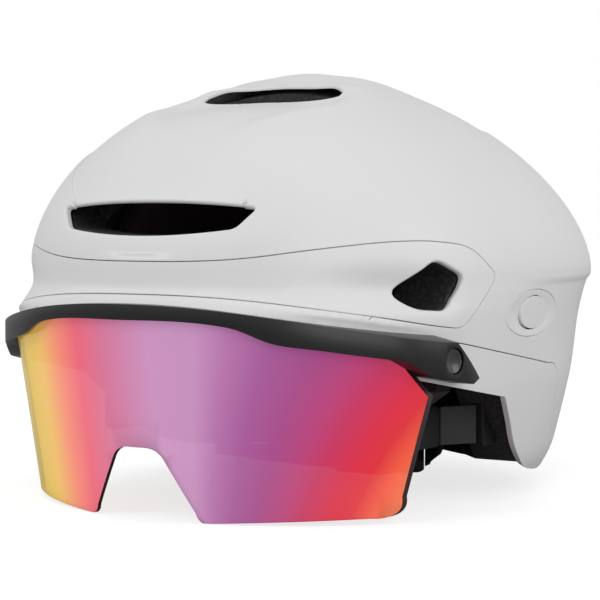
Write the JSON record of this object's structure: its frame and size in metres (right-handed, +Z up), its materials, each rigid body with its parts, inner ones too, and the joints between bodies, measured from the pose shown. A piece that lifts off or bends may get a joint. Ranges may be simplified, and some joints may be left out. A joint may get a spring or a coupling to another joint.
{
  "type": "aero time trial helmet",
  "caption": "Smooth aero time trial helmet with a brow slot, side and crown vents, a magnetic one-piece mirrored shield with a nose notch, and a dial-fit nape cradle.",
  "frame": {"origin": "on the floor under the middle of the helmet, with the shield's lower tips and the dial housing's foot on the floor", "axes": "+Z up, +Y from the brow to the tail, +X to the wearer's left"},
  "size_m": [0.211, 0.2771, 0.173],
  "materials": {
    "shell_white": "matt painted",
    "liner_foam": "beaded foam",
    "vent_plastic": "satin",
    "pad_fabric": "knitted cover",
    "frame_black": "fine satin",
    "cover_grey": "gloss",
    "magnet_steel": "plated",
    "lens_tint": "colour-shifting mirror coating",
    "fit_plastic": "satin",
    "dial_rubber": "ribbed",
    "lace_cord": "smooth cord",
    "strap_webbing": "flat webbing",
    "buckle_plastic": "moulded"
  },
  "bodies": {
    "helmet": {"crown_shell": "shell_white", "brow_panel": "shell_white", "lower_panel_left": "shell_white", "lower_panel_right": "shell_white", "side_cap_left": "shell_white", "side_cap_right": "shell_white", "rear_vent_insert": "vent_plastic", "eps_liner": "liner_foam", "shell_magnets": "magnet_steel", "brow_pad": "pad_fabric", "crown_pad_left": "pad_fabric", "crown_pad_right": "pad_fabric", "side_pad_left": "pad_fabric", "side_pad_right": "pad_fabric", "temple_plate_left": "fit_plastic", "temple_plate_right": "fit_plastic", "stem_guide": "fit_plastic", "strap_anchors": "buckle_plastic", "front_strap_left": "strap_webbing", "front_strap_right": "strap_webbing", "rear_strap_left": "strap_webbing", "rear_strap_right": "strap_webbing", "strap_divider_left": "buckle_plastic", "strap_divider_right": "buckle_plastic", "chin_strap_left": "strap_webbing", "chin_strap_right": "strap_webbing", "buckle_female": "buckle_plastic", "strap_keeper": "strap_webbing"},
    "shield": {"shield_frame": "frame_black", "frame_magnets": "magnet_steel", "frame_cover_left": "cover_grey", "frame_cover_right": "cover_grey", "shield_lens": "lens_tint"},
    "stem": {"height_stem": "fit_plastic"},
    "cradle": {"nape_cradle": "fit_plastic", "fit_arm_left": "fit_plastic", "fit_arm_right": "fit_plastic", "nape_pad_left": "pad_fabric", "nape_pad_right": "pad_fabric", "fit_lace_left": "lace_cord", "fit_lace_right": "lace_cord", "dial_housing": "fit_plastic"},
    "dial": {"fit_dial": "dial_rubber"},
    "buckle_tongue": {"buckle_male": "buckle_plastic"}
  },
  "joints": [
    {"name": "shield_slide", "type": "slide", "parent": "helmet", "child": "shield", "axis": [0, -1, 0], "range_m": [0, 0.07]},
    {"name": "height_slide", "type": "slide", "parent": "helmet", "child": "stem", "axis": [0, 0, 1], "range_m": [0, 0.016]},
    {"name": "tension_slide", "type": "slide", "parent": "stem", "child": "cradle", "axis": [0, -1, 0], "range_m": [0, 0.008]},
    {"name": "dial_turn", "type": "hinge", "parent": "cradle", "child": "dial", "pos_m": [0, 0.042, 0.013], "axis": [0, 1, 0], "range_deg": [0, 720]},
    {"name": "buckle_release", "type": "slide", "parent": "helmet", "child": "buckle_tongue", "axis": [-1, 0, 0], "range_m": [0, 0.016], "deforming": ["chin_strap_right"]}
  ],
  "couplings": [
    {"joint": "dial_turn", "follows": "tension_slide", "rad_per_m": 1570.8}
  ]
}
